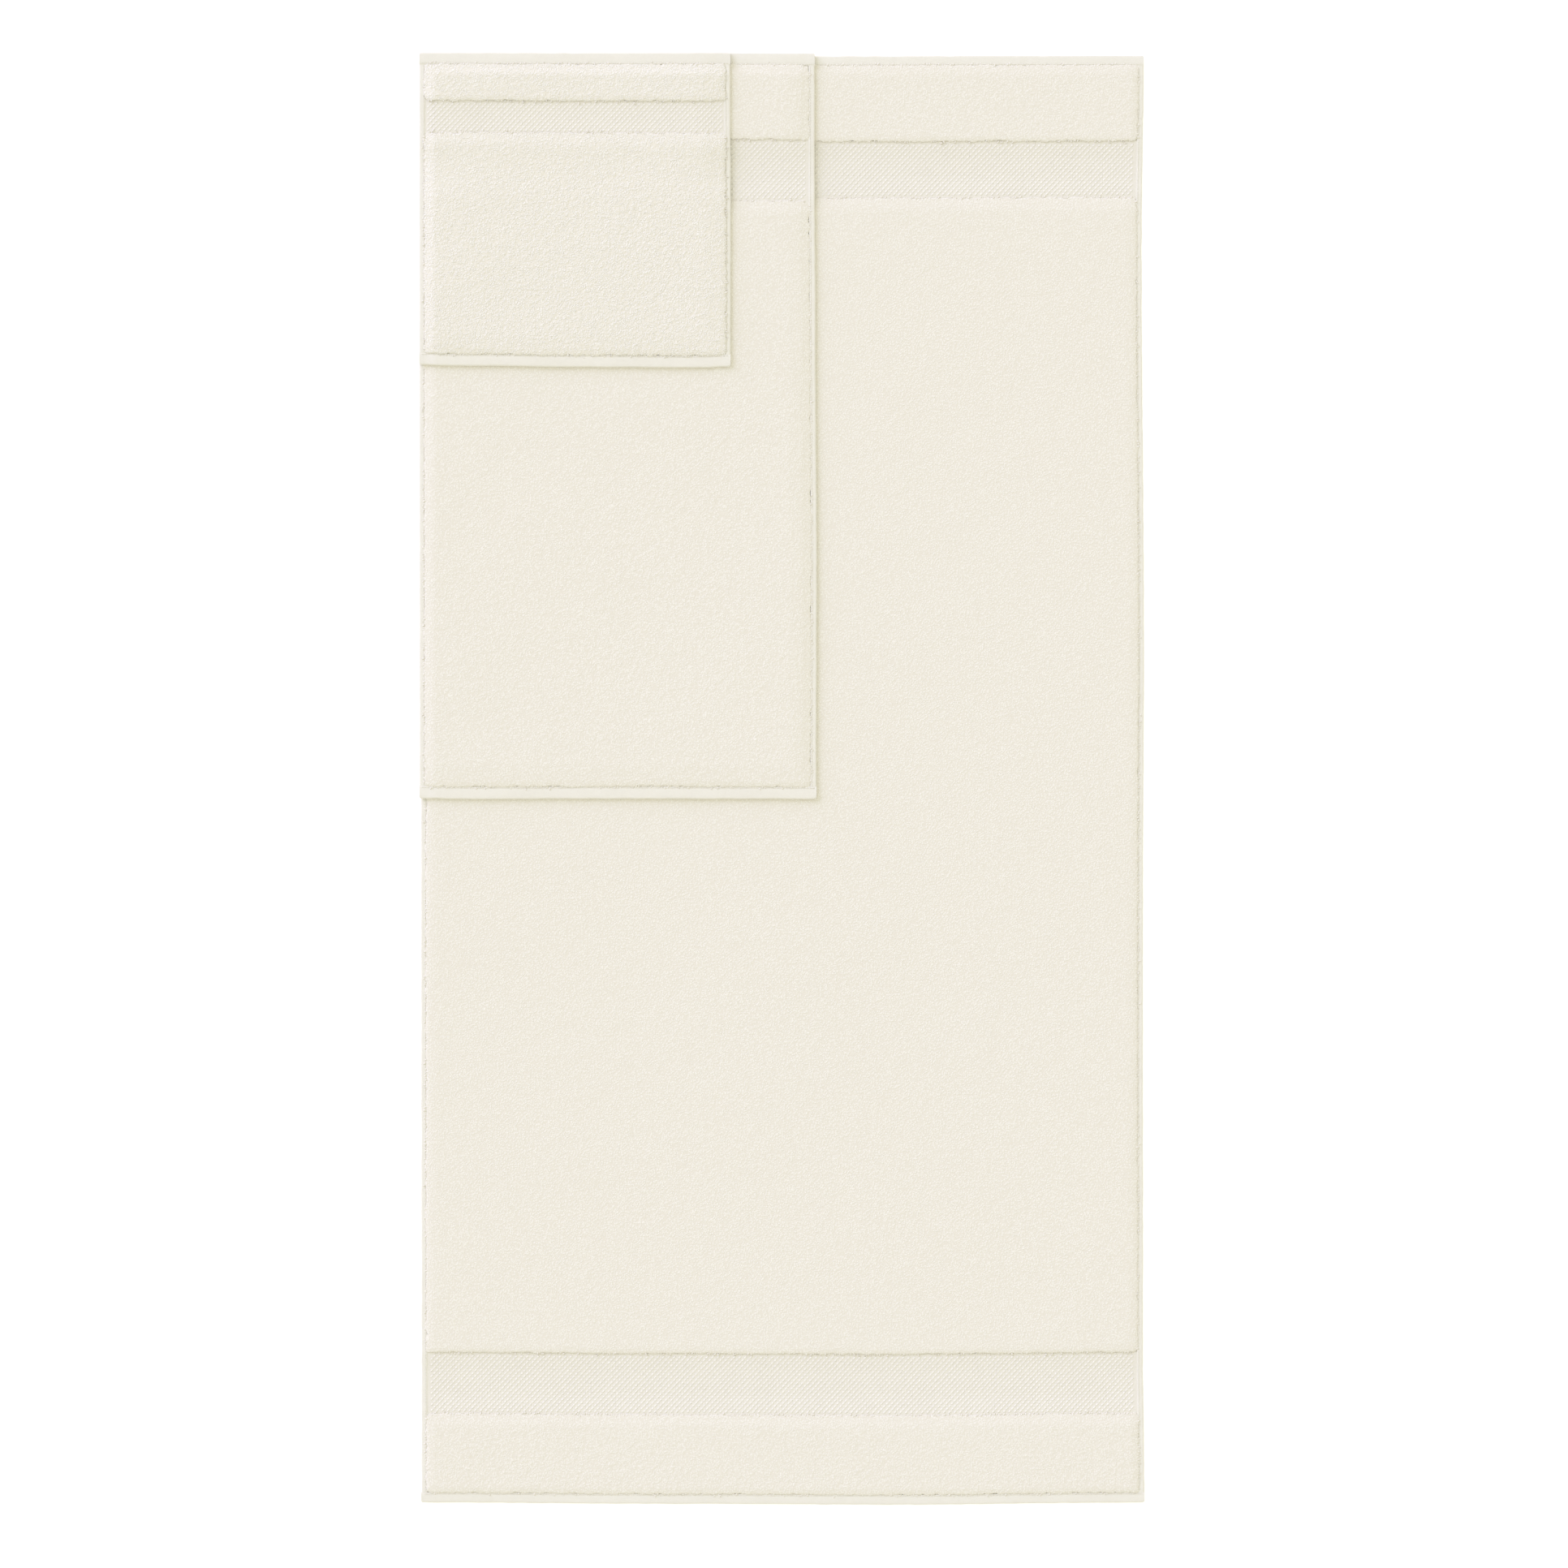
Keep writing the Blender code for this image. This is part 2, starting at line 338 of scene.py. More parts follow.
def woven(name, colour, shadow, thread, roughness, depth):
    """Plain weave: two crossed sets of threads, one light and one dark at each crossing; the dark
    colour is painted shade between the threads, mixed with slubs and clouds that vary the tone.
    """
    cloth = Finish(name, roughness=roughness, sheen=0.2, gloss=0.15)
    detail = {"Detail": 1.0, "Detail Scale": 2.0}
    warp = cloth.threads(cloth.place, thread, 0.6, "X", **detail)
    weft = cloth.threads(cloth.place, thread, 0.6, "Y", **detail)
    weave = cloth.plus(warp, weft)
    slubs = cloth.noise(SLUBS, 3.0)
    clouds = cloth.noise(30.0)
    height = cloth.plus(weave, slubs)
    tone = cloth.ramp(cloth.plus(weave, cloth.plus(slubs, clouds)), 0.7, 2.6)
    return cloth.done(cloth.mix(tone, shadow, colour), cloth.bump(height, depth, 0.7))


def dobby_floats():
    """Lustrous weft floats: fine threads that run along each slanted float."""
    weave = Finish("ivory_dobby_floats", roughness=0.8, sheen=0.1, gloss=0.15)
    threads = weave.threads(weave.turned(-DOBBY_SLANT), 0.36 * MM, 1.2, "Y")
    fibres = weave.noise(FIBRES, 3.0)
    clouds = weave.noise(34.0)
    height = weave.plus(threads, weave.ramp(fibres, 0.2, 0.8, 0.0, 0.7))
    tone = weave.ramp(weave.plus(threads, weave.plus(fibres, clouds)), 0.6, 2.0)
    colour = weave.mix(tone, (0.89, 0.855, 0.785), (0.95, 0.92, 0.86))
    return weave.done(colour, weave.bump(height, 0.12 * MM, 0.7))


def sewing_thread():
    """Tight two-ply thread, about as light as the hem."""
    thread = Finish("ivory_seam_thread", roughness=0.55, sheen=0.1, gloss=0.35)
    plies = thread.threads(thread.turned(38), 0.3 * MM, 0.4, "X")
    colour = thread.mix(plies, (0.82, 0.785, 0.70), (0.91, 0.88, 0.81))
    return thread.done(colour, thread.bump(plies, 0.08 * MM, 0.8))


def satin_ribbon():
    """Blank label ribbon: smooth satin with faint ribs across it."""
    ribbon = Finish("white_satin_ribbon", roughness=0.42, sheen=0.15, gloss=0.5)
    ribs = ribbon.threads(ribbon.place, 0.28 * MM, 0.2, "Y")
    clouds = ribbon.noise(120.0)
    tone = ribbon.ramp(ribbon.plus(ribs, clouds), 0.3, 1.7)
    colour = ribbon.mix(tone, (0.80, 0.80, 0.78), (0.88, 0.88, 0.87))
    return ribbon.done(colour, ribbon.bump(ribs, 0.04 * MM, 0.5))


# ---------------------------------------------------------------- making and placing pieces


def new_piece(name, points, faces):
    mesh = bpy.data.meshes.new(name)
    mesh.from_pydata(points.tolist(), [], faces.tolist())
    mesh.shade_smooth()
    piece = bpy.data.objects.new(name, mesh)
    bpy.context.scene.collection.objects.link(piece)
    return piece


def deselect():
    bpy.ops.object.select_all(action="DESELECT")


def work_on(piece):
    deselect()
    piece.select_set(True)
    bpy.context.view_layer.objects.active = piece


def join_onto(piece, other):
    """Makes another object part of this piece."""
    work_on(piece)
    other.select_set(True)
    bpy.ops.object.join()


def select_faces(piece, wanted):
    """Selects the faces whose normal passes the test, and leaves edit mode on."""
    bpy.ops.object.mode_set(mode="OBJECT")
    mesh = piece.data
    for part in (mesh.vertices, mesh.edges, mesh.polygons):
        part.foreach_set("select", np.zeros(len(part), bool))
    for face in mesh.polygons:
        face.select = bool(wanted(face.normal))
    bpy.ops.object.mode_set(mode="EDIT")


def apply_modifier(piece, kind, **settings):
    work_on(piece)
    modifier = piece.modifiers.new(kind.lower(), kind)
    for setting, value in settings.items():
        setattr(modifier, setting, value)
    bpy.ops.object.modifier_apply(modifier=modifier.name)


def repeat(piece, step, count):
    """Makes the piece a row of this many copies, one step apart."""
    apply_modifier(
        piece,
        "ARRAY",
        count=count,
        use_relative_offset=False,
        use_constant_offset=True,
        constant_offset_displace=step,
    )


def settle_in_place(piece):
    """Puts the object's place, turn and size into its mesh."""
    work_on(piece)
    bpy.ops.object.transform_apply(location=True, rotation=True, scale=True)


def put_on(towel, piece, node, material=None):
    """Lays a finished piece with its towel and makes it stand for its node."""
    lay(towel, piece)
    if material:
        piece.data.materials.append(material)
    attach(piece, towel.body)
    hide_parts(node)
    towel.pieces.append(piece)


# ---------------------------------------------------------------- pile

# How pile stands at a panel's edge: nominal inset in mm, share of the lean, extra inset in mm,
# and share of the wall's height. It leans out over the hem or band beside it, then turns over.
PILE_WALL = np.array(
    (
        (0.0, 0.0, -0.35, 0.0),
        (0.5, -0.8, 0.0, 0.40),
        (1.0, -1.0, 0.0, 0.62),
        (1.6, -0.7, 0.0, 0.82),
        (2.3, 0.0, 0.5, 0.93),
        (3.2, 0.0, 2.3, 0.985),
        (4.2, 0.0, 4.2, 1.0),
    )
)
PILE_CORNER = 5.0 * MM  # size of a panel's round corners
LEAN_BLEND = 2.5 * MM  # how softly the lean passes from edge to edge round a corner
# At each edge of a panel: how far the pile leans out in mm, the wall's share of the pile's
# height, and how wide in mm the soft swell is that makes up the rest.
PILE_EDGES = {
    "left": (1.4, 0.52, 8.0),
    "right": (1.6, 0.62, 6.0),
    "lower_by_hem": (0.7, 0.42, 6.0),
    "lower_by_dobby": (0.7, 0.58, 5.0),
    "upper_by_hem": (1.1, 0.50, 12.0),
    "upper_by_dobby": (1.5, 0.32, 15.0),
}
# Shares and sizes of the lumps that make an edge ragged, and how far in and out they push it.
RAGGED = ((0.55, 2.6 * MM), (0.45, 7 * MM))
RAGGED_DEPTH = 7.0 * MM
# The pile's top: its mean height, its short lumps, which grain scales, and its long ones, each
# a share of the pile's height and a size.
MEAN_HEIGHT = 0.98
SHORT_LUMPS = ((0.13, 2.1 * MM), (0.02, 5 * MM))
LONG_LUMPS = (0.02, 21 * MM)

LOOP_HEAD = (0.62 * MM, 1.15 * MM, 0.62 * MM)  # half sizes of one loop's head
LOOP_PITCH = 2.3 * MM  # from loop to loop along an edge
LOOP_JITTER = 0.4  # how far a loop may sit off its pitch, as a share of it
LOOP_SCATTER = 0.9  # spread in mm of loops across the edge
LOOP_OVERHANG = 0.75  # how far out loops sit, as a share of the lean
LOOP_RISE = (0.5, 0.85)  # least and greatest height of a loop, as a share of the wall's
LOOP_TURN = 0.9  # greatest turn of a loop off its edge's line, in radians
LOOP_SIZE = (0.8, 1.7)  # least and greatest size of a loop's head
LOOP_FREE_END = 3 * MM  # how much of an edge has no loops at each corner


def cut_lines(low, high, cell):
    """Places of the grid's lines: close together by the edges, a cell apart between them."""
    close = PILE_WALL[:, 0] * MM
    count = max(2, round((high - low - 2 * close[-1]) / cell))
    middle = np.linspace(low + close[-1], high - close[-1], count + 1)
    return np.concatenate([low + close[:-1], middle, high - close[-2::-1]])


def grid_faces(across, along):
    index = np.arange(across * along).reshape(along, across)
    corners = (index[:-1, :-1], index[:-1, 1:], index[1:, 1:], index[1:, :-1])
    return np.stack([corner.ravel() for corner in corners], axis=1)


def panel_edges(towel, node):
    """The rows of PILE_EDGES for a panel's left, right, lower and upper edge."""
    top_stripe = "_top_stripe_" in node
    below = "dobby" if top_stripe or node.startswith("bath_field") else "hem"
    above = "hem" if top_stripe else "dobby"
    sides = ("left", "right", f"lower_by_{below}", f"upper_by_{above}")
    edges = np.array([PILE_EDGES[side] for side in sides])
    edges[1] *= (towel.firm, towel.firm, 1 / towel.firm)
    return edges


def lean_out(x, y, low, high, edges, insets, seed):
    """Moves a flat grid's points to a ragged wall that leans out, with round corners. Gives
    their new places and each point's share of the wall's height."""
    inset = insets.min(axis=0)
    pull = np.exp((inset - insets) / LEAN_BLEND)
    lean = (edges[:, :1] * pull).sum(axis=0) / pull.sum(axis=0) * MM
    steps, *columns = PILE_WALL.T
    leaning, extra, standing = (np.interp(inset / MM, steps, column) for column in columns)
    wall = inset < steps[-1] * MM
    true_inset = np.where(wall, leaning * lean + extra * MM, inset)
    ragged = sum(
        part * lumps(x, y, size, seed + turn) for turn, (part, size) in enumerate(RAGGED)
    )
    ragged = ragged * standing * (1.05 - standing)  # most of all halfway up the wall
    true_inset += np.where(wall, ragged * RAGGED_DEPTH, 0)
    centre_x = np.clip(x, low.x + PILE_CORNER, high.x - PILE_CORNER)
    centre_y = np.clip(y, low.y + PILE_CORNER, high.y - PILE_CORNER)
    out_x, out_y = x - centre_x, y - centre_y
    reach = (out_x**4 + out_y**4) ** 0.25
    stretch = np.where(reach > 1e-9, (PILE_CORNER - true_inset) / np.maximum(reach, 1e-9), 0)
    return centre_x + out_x * stretch, centre_y + out_y * stretch, standing


def pile_panel(towel, node, cell, seed, terry):
    """One panel of pile: soft lumpy top, ragged leaning edges and a flat base on the cloth."""
    low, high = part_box(node)
    facing_up = node.endswith("front_pile")
    x_lines, y_lines = cut_lines(low.x, high.x, cell), cut_lines(low.y, high.y, cell)
    x, y = (side.ravel() for side in np.meshgrid(x_lines, y_lines))
    edges = panel_edges(towel, node)
    insets = np.array([x - low.x, high.x - x, y - low.y, high.y - y])
    x, y, share = lean_out(x, y, low, high, edges, insets, seed)
    for (_, stands, swell), inset in zip(edges, insets):
        share = share * (1 - (1 - stands) * np.clip(1 - inset / (swell * MM), 0, 1) ** 2)
    short = (part * lumps(x, y, size, seed + 2 + n) for n, (part, size) in enumerate(SHORT_LUMPS))
    lumpy = towel.grain * sum(short)
    lumpy += LONG_LUMPS[0] * lumps(x, y, LONG_LUMPS[1], seed + 4)
    loft = towel.loft if facing_up else 1
    height = (high.z - low.z) * share * (MEAN_HEIGHT + lumpy) * loft
    z = low.z + height if facing_up else high.z - height
    faces = grid_faces(len(x_lines), len(y_lines))
    if not facing_up:
        faces = faces[:, ::-1]
    piece = new_piece(node.replace("_pile", "_loops"), np.stack([x, y, z], axis=1), faces)
    close_base(piece)
    if facing_up:
        join_onto(piece, edge_loops(low, high, edges, loft, seed + 5))
    put_on(towel, piece, node, terry)


def loop_head():
    """The head of one uncut loop: a plump grain of yarn with twenty faces."""
    deselect()
    bpy.ops.mesh.primitive_ico_sphere_add(subdivisions=1, radius=1)
    head = bpy.context.object
    head.scale = LOOP_HEAD
    bpy.ops.object.transform_apply(location=True, rotation=True, scale=True)
    return head


def edge_loops(low, high, edges, loft, seed):
    """Single loops that hang over the panel's edges, each turned and set a little differently."""
    chance = np.random.default_rng(seed)
    head = loop_head()
    shape = np.array([vertex.co for vertex in head.data.vertices])
    sides = np.array([face.vertices for face in head.data.polygons])
    bpy.data.objects.remove(head)
    rows = []
    for edge, (lean, stands, _) in enumerate(edges):
        runs_along_y = edge < 2
        start, stop = (low.y, high.y) if runs_along_y else (low.x, high.x)
        along = np.arange(start + LOOP_FREE_END, stop - LOOP_FREE_END, LOOP_PITCH)
        along += chance.uniform(-LOOP_JITTER, LOOP_JITTER, len(along)) * LOOP_PITCH
        inward = (chance.normal(0, LOOP_SCATTER, len(along)) - LOOP_OVERHANG * lean) * MM
        if edge % 2 == 0:
            fixed = (low.x if runs_along_y else low.y) + inward
        else:
            fixed = (high.x if runs_along_y else high.y) - inward
        tall = (high.z - low.z) * loft * stands * chance.uniform(*LOOP_RISE, len(along))
        turn = chance.uniform(-LOOP_TURN, LOOP_TURN, len(along))
        turn += np.pi / 2 if runs_along_y else 0
        x, y = (fixed, along) if runs_along_y else (along, fixed)
        rows.append(np.stack([x, y, low.z + tall, turn], axis=1))
    x, y, z, turn = np.concatenate(rows).T[:, :, None]
    size = chance.uniform(*LOOP_SIZE, x.shape)
    points = np.stack(
        [
            x + size * (np.cos(turn) * shape[:, 0] - np.sin(turn) * shape[:, 1]),
            y + size * (np.sin(turn) * shape[:, 0] + np.cos(turn) * shape[:, 1]),
            z + size * shape[:, 2],
        ],
        axis=2,
    )
    faces = sides + len(shape) * np.arange(len(x))[:, None, None]
    return new_piece("edge_loops", points.reshape(-1, 3), faces.reshape(-1, 3))


def close_base(piece):
    """Fills the open side where the pile is woven into the ground cloth."""
    shape = bmesh.new()
    shape.from_mesh(piece.data)
    rim = [edge for edge in shape.edges if edge.is_boundary]
    filled = bmesh.ops.triangle_fill(shape, edges=rim, use_beauty=False)
    base = [part for part in filled["geom"] if isinstance(part, bmesh.types.BMFace)]
    bmesh.ops.recalc_face_normals(shape, faces=shape.faces)
    for face in base:
        face.smooth = False
    shape.to_mesh(piece.data)
    shape.free()


# ---------------------------------------------------------------- woven cloth

CLOTH_CELL = 8 * MM  # the ground cloth's grid
BAND_CELL = 6 * MM  # a dobby band's grid
BAND_CLOTH = 0.5 * MM  # thickness of the cloth under the floats
BAND_MARGIN = 2 * MM  # of a band's width and of its length, left without floats
FLOAT_PITCH = (5.75 * MM, 3.0 * MM)  # along a row, and from row to row
FLOAT_SIZE = (3.9 * MM, 2.1 * MM, 0.42 * MM)  # length, width and rise
FLOAT_CROWN = (0.66, 0.34)  # the crown's share of a float's length and width
FLOAT_SUNK = 0.02 * MM  # how deep a float's foot is in its cloth
FLOAT_POINTS = 12  # points in one float's mesh
FLOAT_SHIFT = 0.09 * MM  # spread of the floats' places


def woven_panel(name, low, high, cell):
    """A flat closed cloth between two corners, divided finely enough to lie softly."""
    deselect()
    width, length, thickness = high - low
    bpy.ops.mesh.primitive_grid_add(
        x_subdivisions=max(2, round(width / cell)),
        y_subdivisions=max(2, round(length / cell)),
        size=1,
        location=((low.x + high.x) / 2, (low.y + high.y) / 2, low.z),
    )
    cloth = bpy.context.object
    cloth.name = cloth.data.name = name
    cloth.scale = (width, length, 1)
    bpy.ops.object.transform_apply(location=True, rotation=True, scale=True)
    apply_modifier(cloth, "SOLIDIFY", thickness=thickness, offset=1.0)
    return cloth


def ground_cloth(towel, finish):
    low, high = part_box(f"{towel.name}_ground_cloth")
    cloth = woven_panel(f"{towel.name}_towel_cloth", low, high, CLOTH_CELL)
    put_on(towel, cloth, f"{towel.name}_ground_cloth", finish)
    return cloth


def weft_float():
    """One raised weft float: a low six-sided grain that lies on the slant."""
    length, width, rise = FLOAT_SIZE
    foot, crown = 0.45 * rise, 0.55 * rise
    deselect()
    bpy.ops.mesh.primitive_cylinder_add(vertices=6, radius=0.5, depth=1, location=(0, 0, 0.5))
    grain = bpy.context.object
    bpy.ops.object.transform_apply(location=True, rotation=True, scale=True)
    bpy.ops.object.mode_set(mode="EDIT")
    bpy.ops.mesh.select_all(action="SELECT")
    bpy.ops.transform.resize(value=(length, width, foot), center_override=(0, 0, 0))
    select_faces(grain, lambda normal: normal.z > 0.9)
    bpy.ops.mesh.extrude_region_move(TRANSFORM_OT_translate={"value": (0, 0, crown)})
    bpy.ops.transform.resize(value=(*FLOAT_CROWN, 1), center_override=(0, 0, rise))
    select_faces(grain, lambda normal: normal.z < -0.9)
    bpy.ops.mesh.delete(type="FACE")
    bpy.ops.mesh.select_all(action="SELECT")
    bpy.ops.transform.rotate(
        value=-radians(DOBBY_SLANT), orient_axis="Z", center_override=(0, 0, 0)
    )
    bpy.ops.object.mode_set(mode="OBJECT")
    return grain


def float_rows(columns, pairs):
    """Floats in pairs of rows, the second of each pair half a step to the side."""
    step, row = FLOAT_PITCH
    floats, beside = weft_float(), weft_float()
    beside.location = (step / 2, row, 0)
    settle_in_place(beside)
    join_onto(floats, beside)
    repeat(floats, (step, 0, 0), columns)
    repeat(floats, (0, 2 * row, 0), pairs)
    return floats


def dobby_band(towel, node, seed, finish, between):
    """A flat band of cloth with staggered slanted floats standing on its outer side."""
    low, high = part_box(node)
    facing_up = "_front_" in node
    tuck = Vector((0.6 * MM, 0.3 * MM, 0))  # under the hem and the pile beside it
    cloth_low, cloth_high = low - tuck, high + tuck
    if facing_up:
        cloth_high.z = low.z + BAND_CLOTH
    else:
        cloth_low.z = high.z - BAND_CLOTH
    cloth = woven_panel(f"{node}_floats", cloth_low, cloth_high, BAND_CELL)
    step, row = FLOAT_PITCH
    columns = int((high.x - low.x - BAND_MARGIN) / step)
    pairs = int((high.y - low.y - BAND_MARGIN) / (2 * row))
    run = (2 * pairs - 1) * row  # from the first row to the last
    floats = float_rows(columns, pairs)
    floats.location = (
        low.x + (high.x - low.x - (columns - 0.5) * step) / 2,
        low.y + (high.y - low.y - run) / 2,
        cloth_high.z - FLOAT_SUNK if facing_up else cloth_low.z + FLOAT_SUNK,
    )
    if not facing_up:
        floats.rotation_euler = (radians(180), 0, 0)
        floats.location.y += run
    settle_in_place(floats)
    ruffle_floats(floats, seed)
    floats.data.shade_smooth()
    floats.data.materials.append(finish)
    cloth.data.materials.append(between)
    join_onto(cloth, floats)
    put_on(towel, cloth, node)


def ruffle_floats(floats, seed):
    """Shifts each float by a hair, as woven threads never sit exactly in line."""
    points = np.empty(len(floats.data.vertices) * 3, np.float32)
    floats.data.vertices.foreach_get("co", points)
    each = points.reshape(-1, FLOAT_POINTS, 3)
    chance = np.random.default_rng(seed)
    each[:, :, :2] += chance.normal(0, FLOAT_SHIFT, (len(each), 1, 2))
    floats.data.vertices.foreach_set("co", each.ravel())


# ---------------------------------------------------------------- hems and seams

STITCH_PITCH = 3.1 * MM
STITCH_SIZE = (2.1 * MM, 0.56 * MM)  # length and thickness of the thread that shows
STITCH_DIVE = (0.36 * MM, -0.24 * MM)  # how far along and down a stitch's ends go
STITCH_SUNK = 0.16 * MM  # how deep a seam lies in its hem
TOP_RISE = 0.2 * MM  # how far a top hem climbs towards the pile beside it
HEM_OUTSIDE = 13  # points of hem_section that are on the outside, the first ones
HEM_LIP = np.array((0.4, 0.6)) * MM  # extra stations at an end hem's sewn ends
SEWN_SHUT = 0.5 * MM  # how far in from its ends an end hem's pocket is closed
HEM_WAVER = (0.22 * MM, 11 * MM)  # depth and size of the folded edge's waves
HEM_PUFF = (0.11 * MM, 6 * MM)  # height and size of the hem's soft lumps
SEAM_INSET = 1.6 * MM  # from the hem's inner edge to its seam
PUCKER = (0.05 * MM, 1.3 * MM)  # depth and width of the groove that the seam pulls
HEM_CORNER = (1.6 * MM, 2.4 * MM)  # how far an end hem's corner is cut in, and how far along


def hem_section(width, bottom, top, cloth_bottom, cloth_top, fold):
    """The turned hem cut across: (distance in from the folded edge, height), from the inner
    top lip over the fold to the under layers, and back through the pocket."""
    under = bottom + (cloth_bottom - bottom) * 0.5
    return np.array(
        (
            (width, top - 0.12 * MM),
            (width - 0.25 * MM, top),
            (width * 0.66, top + 0.05 * MM),
            (width * 0.4, top + 0.03 * MM),
            (1.7 * MM, top - 0.02 * MM),
            (1.0 * MM, top - 0.14 * MM),
            (0.4 * MM, top - 0.6 * MM),
            (0.1 * MM, top - 1.5 * MM),
            (0.0, bottom + 0.55 * MM),
            (0.35 * MM, bottom + 0.12 * MM),
            (width * 0.5, bottom),
            (width - 0.2 * MM, bottom),
            (width, bottom + 0.15 * MM),
            (width, under - 0.1 * MM),
            (width - 0.4 * MM, under),
            (width, under + 0.1 * MM),
            (width, cloth_bottom - 0.05 * MM),
            (fold, cloth_bottom),
            (fold, cloth_top),
            (width, cloth_top),
        )
    )


def hem_strip(towel, end, seed, finish):
    """A turned hem along one edge, gently puckered where the seam pulls it down."""
    node = f"{towel.name}_{end}_hem"
    low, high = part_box(node)
    cloth_low, cloth_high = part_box(f"{towel.name}_ground_cloth")
    side = end.endswith("side")
    width = high.x - low.x if side else high.y - low.y
    start, stop = (low.y - GAP, high.y + GAP) if side else (low.x, high.x)
    fold = abs(cloth_low.x - towel.left) - GAP
    section = hem_section(width, low.z, high.z, cloth_low.z - GAP, cloth_high.z + GAP, fold)
    stations = np.linspace(start, stop, round((stop - start) / (STITCH_PITCH / 2)) + 1)
    if not side:
        ends = ([start], start + HEM_LIP, stations[1:-1], stop - HEM_LIP[::-1], [stop])
        stations = np.concatenate(ends)
    along, inward = np.meshgrid(stations, section[:, 0], indexing="ij")
    from_end = np.minimum(along - start, stop - along)
    if not side:
        shut = (from_end < SEWN_SHUT) & (section[:, 0] == fold)
        inward = np.where(shut, width - 0.05 * MM, inward)
    height = np.broadcast_to(section[:, 1], along.shape).copy()
    outer = 1 - smooth_step(inward / (width * 0.6))
    upper = height > (low.z + high.z) / 2
    surface = np.arange(len(section)) < HEM_OUTSIDE
    inward = inward + outer * surface * HEM_WAVER[0] * lumps(along, along * 0, HEM_WAVER[1], seed)
    puff = HEM_PUFF[0] * lumps(along, inward, HEM_PUFF[1], seed + 1)
    depth, reach = PUCKER
    pull = np.cos(2 * np.pi * (along - start) / STITCH_PITCH) * depth
    near_seam = np.exp(-(((inward - (width - SEAM_INSET)) / reach) ** 2))
    height += surface * np.where(upper, 1, -0.5) * (puff - near_seam * (depth + pull))
    if end == "top_end":
        climb = smooth_step((inward - 0.35 * width) / (0.65 * width))
        height += surface * upper * TOP_RISE * climb
    if not side:
        cut_in, cut_along = HEM_CORNER
        tip = np.clip(from_end / cut_along, 0, 1)
        round_off = 1 - np.sqrt(np.clip(1 - (1 - tip) ** 2, 0, 1))
        inward = inward + outer * surface * round_off * cut_in
    x, y = hem_places(towel, end, inward, along)
    count, ring = x.shape
    index = np.arange(count * ring).reshape(count, ring)
    after = np.roll(index, -1, axis=1)
    faces = np.stack(
        [index[:-1].ravel(), index[1:].ravel(), after[1:].ravel(), after[:-1].ravel()], axis=1
    )
    points = np.stack([x.ravel(), y.ravel(), height.ravel()], axis=1)
    piece = new_piece(f"{node}_fold", points, faces)
    cap_ends(piece)
    put_on(towel, piece, node, finish)


def hem_places(towel, end, inward, along):
    """Where points this far in from a towel's edge and along it are."""
    if end == "left_side":
        return towel.left + inward, along
    if end == "right_side":
        return towel.right - inward, along
    if end == "top_end":
        return along, towel.top - inward
    return along, towel.bottom + inward


def cap_ends(piece):
    """Closes both ends of a strip and turns all its faces outwards."""
    shape = bmesh.new()
    shape.from_mesh(piece.data)
    rim = [edge for edge in shape.edges if edge.is_boundary]
    bmesh.ops.holes_fill(shape, edges=rim, sides=0)
    bmesh.ops.recalc_face_normals(shape, faces=shape.faces)
    shape.to_mesh(piece.data)
    shape.free()
    work_on(piece)
    bpy.ops.object.shade_smooth_by_angle(angle=radians(50))


def lock_stitch():
    """One stitch along X: a short stretch of thread whose ends dive into the cloth."""
    length, thick = STITCH_SIZE
    onward, down = STITCH_DIVE
    deselect()
    bpy.ops.mesh.primitive_cylinder_add(
        vertices=6, radius=thick / 2, depth=length, rotation=(0, radians(90), 0)
    )
    stitch = bpy.context.object
    bpy.ops.object.transform_apply(location=True, rotation=True, scale=True)
    for way in (-1, 1):
        select_faces(stitch, lambda normal: normal.x * way > 0.9)
        dive = {"value": (way * onward, 0, down)}
        bpy.ops.mesh.extrude_region_move(TRANSFORM_OT_translate=dive)
        tip = (way * (length / 2 + onward), 0, down)
        bpy.ops.transform.resize(value=(1, 0.6, 0.6), center_override=tip)
    bpy.ops.object.mode_set(mode="OBJECT")
    return stitch


def seam(towel, end, finish):
    """A straight line of lock stitches near a hem's inner edge."""
    node = f"{towel.name}_{end}_seam"
    low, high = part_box(node)
    side = end.endswith("side")
    run = (high - low).y if side else (high - low).x
    count = int(run / STITCH_PITCH)
    stitches = lock_stitch()
    repeat(stitches, (STITCH_PITCH, 0, 0), count)
    stitches.name = stitches.data.name = f"{node}_stitches"
    start = (run - (count - 1) * STITCH_PITCH) / 2
    middle = (low + high) / 2
    if side:
        stitches.rotation_euler = (0, 0, radians(90))
        stitches.location = (middle.x, low.y + start, low.z - STITCH_SUNK)
    else:
        rise = 0.8 * TOP_RISE if end == "top_end" else 0
        stitches.location = (low.x + start, middle.y, low.z - STITCH_SUNK + rise)
    settle_in_place(stitches)
    stitches.data.shade_smooth()
    put_on(towel, stitches, node, finish)


LABEL_CELL = 2.5 * MM  # a label's grid
LABEL_LEAF = 0.4  # thickness of each leaf, as a share of the folded label's


def care_label(towel, finish):
    """A blank folded ribbon: two leaves that are sewn under a dobby band."""
    node = f"{towel.name}_care_label"
    low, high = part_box(node)
    leaf = (high.z - low.z) * LABEL_LEAF
    lower_top, upper_bottom = high.copy(), low.copy()
    lower_top.z, upper_bottom.z = low.z + leaf, high.z - leaf
    label = woven_panel(f"{node}_ribbon", low, lower_top, LABEL_CELL)
    join_onto(label, woven_panel("upper_leaf", upper_bottom, high, LABEL_CELL))
    put_on(towel, label, node, finish)


# ---------------------------------------------------------------- putting the towels together


def is_band(towel, node):
    return node.startswith(towel.name) and node.endswith(("pile", "weave"))


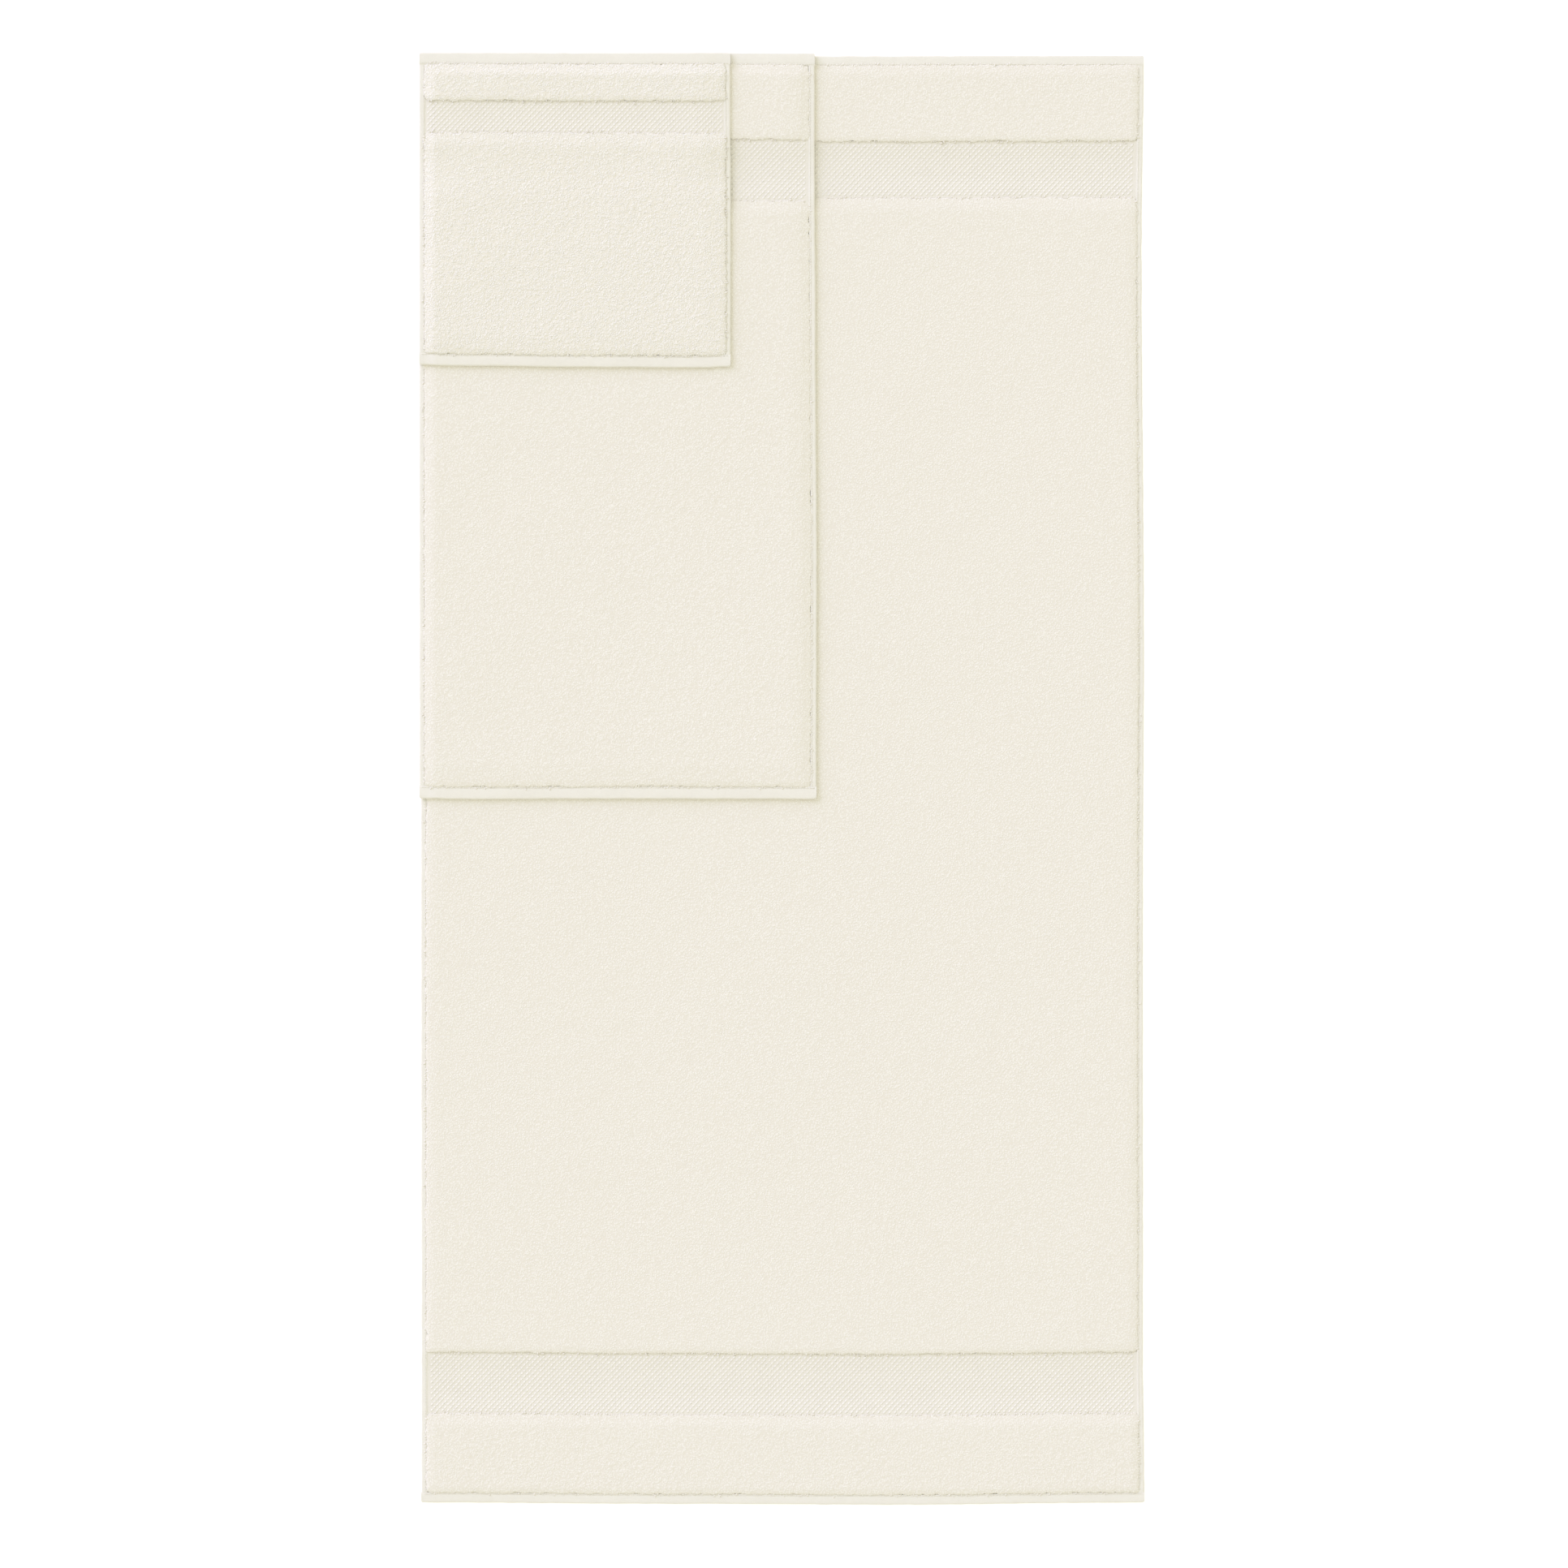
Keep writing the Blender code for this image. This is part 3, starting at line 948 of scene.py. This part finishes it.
def make_towel(towel, finishes):
    cloth = ground_cloth(towel, finishes["ground"])
    bands = [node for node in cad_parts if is_band(towel, node)]
    for turn, node in enumerate(sorted(bands)):
        seed = towel.seed + 10 * turn
        if node.endswith("weave"):
            dobby_band(towel, node, seed, finishes["floats"], finishes["between"])
            continue
        kind = "back" if "_back_" in node else "field" if "_field_" in node else "stripe"
        pile_panel(towel, node, towel.cells[kind], seed, finishes[towel.name])
    for turn, end in enumerate(("left_side", "right_side", "top_end", "bottom_end")):
        hem_strip(towel, end, towel.seed + 90 + turn, finishes["hem"])
        seam(towel, end, finishes["thread"])
    care_label(towel, finishes["label"])
    return cloth


FLOOR_DROP = 0.3 * MM  # the floor lies this far under the set
FLOOR_GLOW = 0.3  # keeps the pale floor even in the towels' shade
LENS, SENSOR = 200.0, 36.0  # mm
VIEW_WIDTH = 1.656  # metres of floor that the frame takes in from side to side
VIEW_MIDDLE = (2.3 * MM, -5.6 * MM)


def studio():
    """A plain pale floor, soft light from the upper left and all round, and the camera."""
    deselect()
    bpy.ops.mesh.primitive_plane_add(size=30, location=(0, 0, -FLOOR_DROP))
    floor = bpy.context.object
    floor.name = "studio_floor"
    paper = Finish("white_paper", roughness=0.9, gloss=0.1)
    colour = paper.mix(paper.noise(2.0), (0.93, 0.93, 0.93), (0.95, 0.95, 0.95))
    paper.set(
        paper.shader, {"Emission Color": (1, 1, 1, 1), "Emission Strength": FLOOR_GLOW}
    )
    floor.data.materials.append(paper.done(colour, paper.bump(paper.noise(60.0), 0.05 * MM)))

    world = bpy.data.worlds.new("soft_room")
    bpy.context.scene.world = world
    world.use_nodes = True
    room = world.node_tree.nodes["Background"]
    room.inputs["Color"].default_value = (1.0, 1.0, 0.873, 1)
    room.inputs["Strength"].default_value = 0.921

    lamp = bpy.data.lights.new("window_light", "SUN")
    lamp.energy, lamp.angle = 2.2, radians(48)
    lamp.color = (0.60, 0.60, 1.0)
    window = bpy.data.objects.new("window_light", lamp)
    bpy.context.scene.collection.objects.link(window)
    window.location = (-3.0, 3.0, 1.545)
    window.rotation_euler = (-window.location).to_track_quat("-Z", "Y").to_euler()

    lens = bpy.data.cameras.new("overhead")
    lens.lens, lens.sensor_width, lens.clip_end = LENS, SENSOR, 60.0
    eye = bpy.data.objects.new("overhead", lens)
    bpy.context.scene.collection.objects.link(eye)
    eye.location = (*VIEW_MIDDLE, VIEW_WIDTH * LENS / SENSOR)
    bpy.context.scene.camera = eye
    bpy.context.scene.view_settings.view_transform = "Standard"


def main():
    finishes = {
        "bath": terry_loops("ivory_bath_loops", 0.28 * MM, *TOWEL_IVORY),
        "hand": terry_loops("ivory_hand_loops", 0.28 * MM, *TOWEL_IVORY),
        "wash": terry_loops("ivory_wash_loops", 0.54 * MM, *WASHCLOTH_IVORY),
        "floats": dobby_floats(),
        "between": woven(
            "ivory_dobby_ground",
            colour=(0.90, 0.86, 0.785),
            shadow=(0.82, 0.775, 0.69),
            thread=0.45 * MM,
            roughness=0.85,
            depth=0.1 * MM,
        ),
        "ground": woven(
            "ivory_ground_weave",
            colour=(0.84, 0.80, 0.72),
            shadow=(0.74, 0.69, 0.60),
            thread=0.9 * MM,
            roughness=0.9,
            depth=0.2 * MM,
        ),
        "hem": woven(
            "ivory_hem_cloth",
            colour=(0.92, 0.89, 0.82),
            shadow=(0.83, 0.79, 0.71),
            thread=0.55 * MM,
            roughness=0.85,
            depth=0.12 * MM,
        ),
        "thread": sewing_thread(),
        "label": satin_ribbon(),
    }
    bath = make_towel(BATH, finishes)
    hand = make_towel(HAND, finishes)
    make_towel(WASH, finishes)
    studio()


main()
